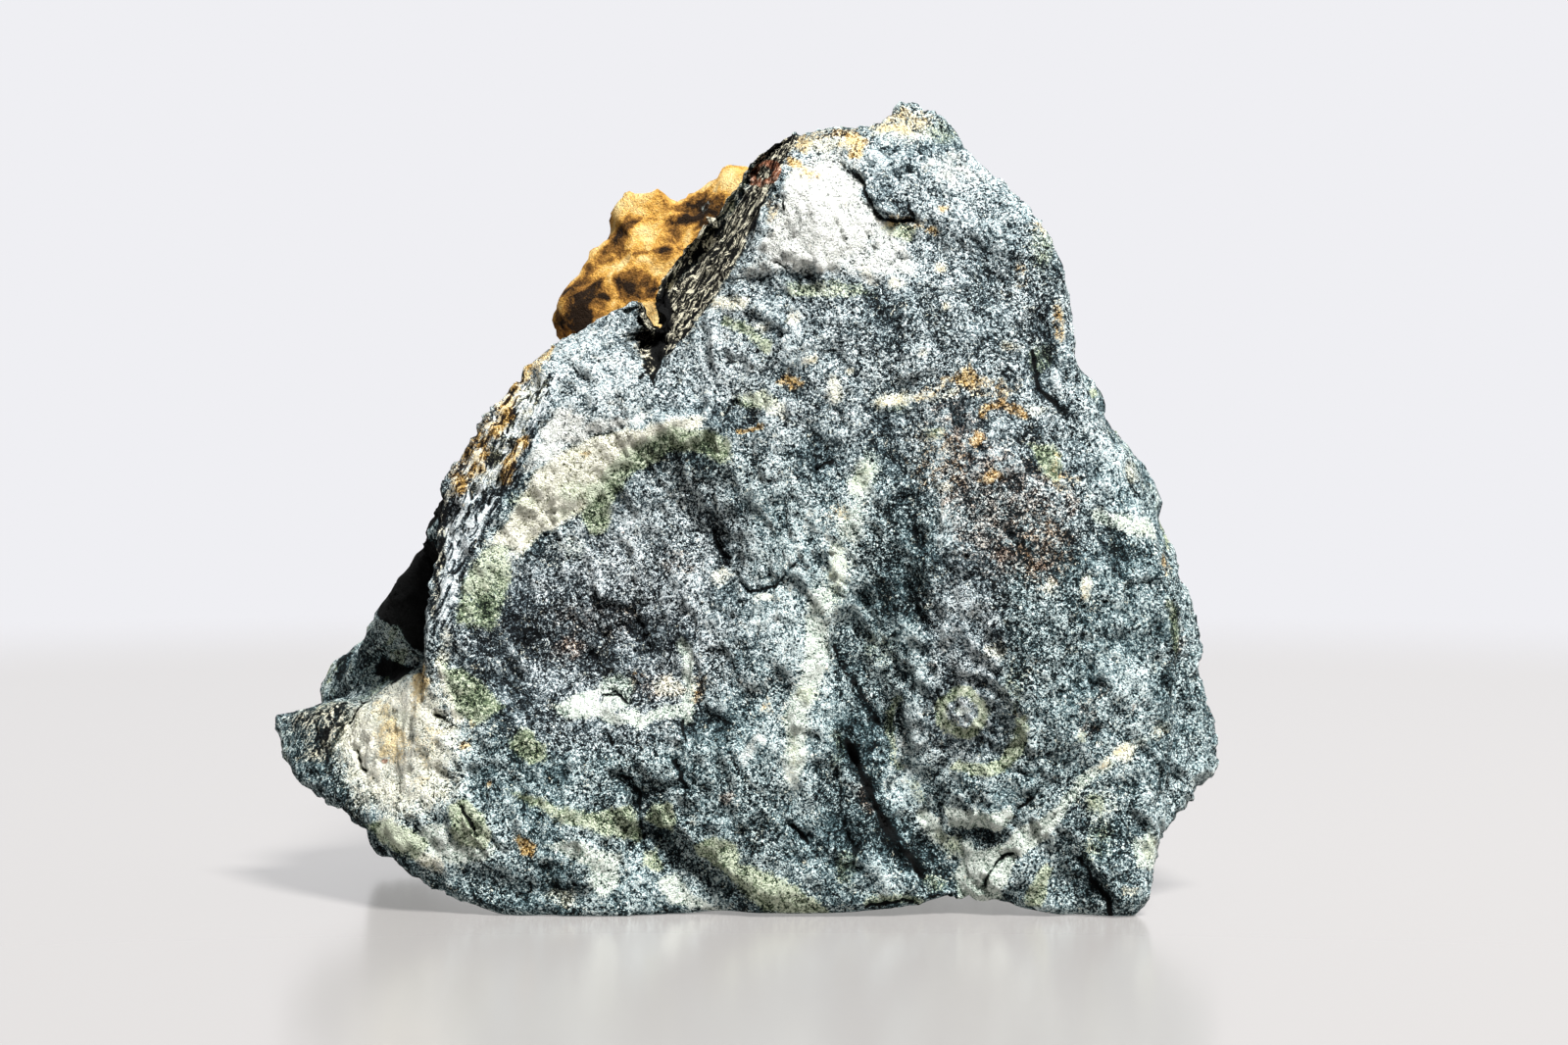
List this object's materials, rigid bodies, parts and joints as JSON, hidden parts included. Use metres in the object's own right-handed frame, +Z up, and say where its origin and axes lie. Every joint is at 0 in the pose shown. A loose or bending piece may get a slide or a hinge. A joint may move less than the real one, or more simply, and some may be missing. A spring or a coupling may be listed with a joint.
{
  "type": "rough kambaba jasper stone",
  "caption": "Rough broken lump of kambaba jasper with a fresh speckled front break, a pointed spur and a weathered back, standing on small flat spots.",
  "frame": {"origin": "under the middle of the bounding box, at the level the stone stands on", "axes": "+Z up, -Y the way the broad fresh break faces, +X to the right seen from the front"},
  "size_m": [0.1052, 0.0688, 0.0866],
  "materials": {
    "kambaba_jasper": "matt and finely rough, speckled dark grey-green with cream and olive bands, dusty white on top and ochre on the back"
  },
  "bodies": {
    "root": {"kambaba_jasper": "kambaba_jasper"}
  },
  "joints": []
}
